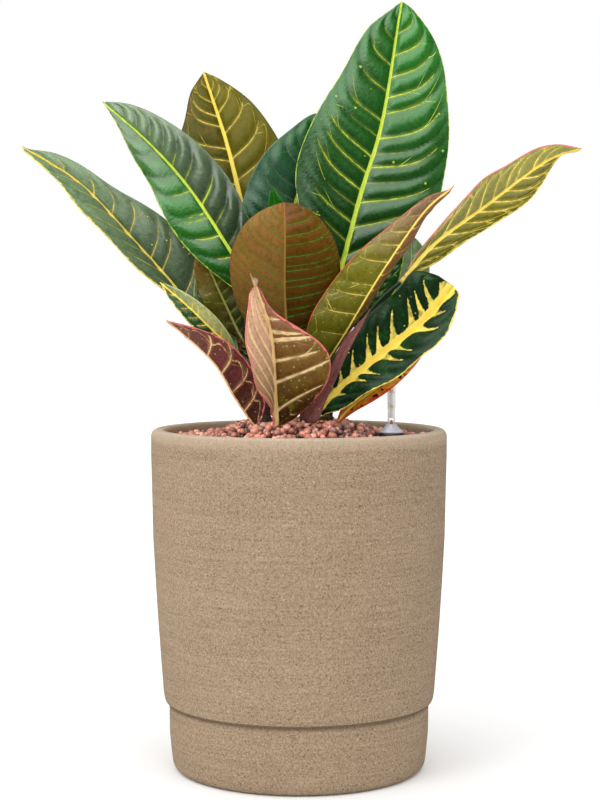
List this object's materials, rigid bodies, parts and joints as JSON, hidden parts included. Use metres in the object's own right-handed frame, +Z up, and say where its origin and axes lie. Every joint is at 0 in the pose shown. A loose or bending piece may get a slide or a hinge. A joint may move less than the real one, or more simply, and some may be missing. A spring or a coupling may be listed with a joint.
{
  "type": "potted croton plant",
  "caption": "Croton shrub with broad coloured leaves, standing in a round cast-stone planter of clay pebbles with a water-level gauge.",
  "frame": {"origin": "centre of the planter's flat base, on the surface it stands on", "axes": "+Z up along the planter's axis, -Y towards the side the picture was taken from, +X to that viewer's right"},
  "size_m": [0.5508, 0.3722, 0.7412],
  "materials": {
    "planter": "matte sand-textured cast stone",
    "substrate": "matte baked clay pebbles",
    "root_ball": null,
    "stem_main": "thin grey-brown bark",
    "stem_left": "thin grey-brown bark",
    "stem_right": "thin grey-brown bark",
    "leaf_01": null,
    "leaf_02": null,
    "leaf_03": null,
    "leaf_04": null,
    "leaf_05": null,
    "leaf_06": null,
    "leaf_07": null,
    "leaf_08": null,
    "leaf_09": null,
    "leaf_10": null,
    "leaf_11": null,
    "leaf_12": null,
    "leaf_13": null,
    "leaf_14": null,
    "leaf_15": null,
    "leaf_16": null,
    "leaf_17": null,
    "leaf_18": null,
    "leaf_19": null,
    "leaf_20": null,
    "leaf_21": null,
    "leaf_22": null,
    "leaf_23": null,
    "leaf_24": null,
    "leaf_25": null,
    "leaf_26": null,
    "leaf_27": null,
    "leaf_28": null,
    "gauge_housing": "matte",
    "gauge_collar": "satin",
    "gauge_cap": "cloudy clear plastic",
    "gauge_tube": "clear plastic",
    "gauge_plug": "satin",
    "gauge_scale": "white strip with plain yellow ticks",
    "gauge_float": "foam",
    "gauge_pointer": "glossy red"
  },
  "bodies": {
    "pot": {"planter": "planter", "substrate": "substrate", "root_ball": "root_ball", "stem_main": "stem_main", "stem_left": "stem_left", "stem_right": "stem_right", "leaf_01": "leaf_01", "leaf_02": "leaf_02", "leaf_03": "leaf_03", "leaf_04": "leaf_04", "leaf_05": "leaf_05", "leaf_06": "leaf_06", "leaf_07": "leaf_07", "leaf_08": "leaf_08", "leaf_09": "leaf_09", "leaf_10": "leaf_10", "leaf_11": "leaf_11", "leaf_12": "leaf_12", "leaf_13": "leaf_13", "leaf_14": "leaf_14", "leaf_15": "leaf_15", "leaf_16": "leaf_16", "leaf_17": "leaf_17", "leaf_18": "leaf_18", "leaf_19": "leaf_19", "leaf_20": "leaf_20", "leaf_21": "leaf_21", "leaf_22": "leaf_22", "leaf_23": "leaf_23", "leaf_24": "leaf_24", "leaf_25": "leaf_25", "leaf_26": "leaf_26", "leaf_27": "leaf_27", "leaf_28": "leaf_28", "gauge_housing": "gauge_housing", "gauge_collar": "gauge_collar", "gauge_cap": "gauge_cap", "gauge_tube": "gauge_tube", "gauge_plug": "gauge_plug", "gauge_scale": "gauge_scale"},
    "float": {"gauge_float": "gauge_float", "gauge_pointer": "gauge_pointer"}
  },
  "joints": [
    {"name": "gauge_rise", "type": "slide", "parent": "pot", "child": "float", "axis": [0, 0, 1], "range_m": [0, 0.044]}
  ]
}
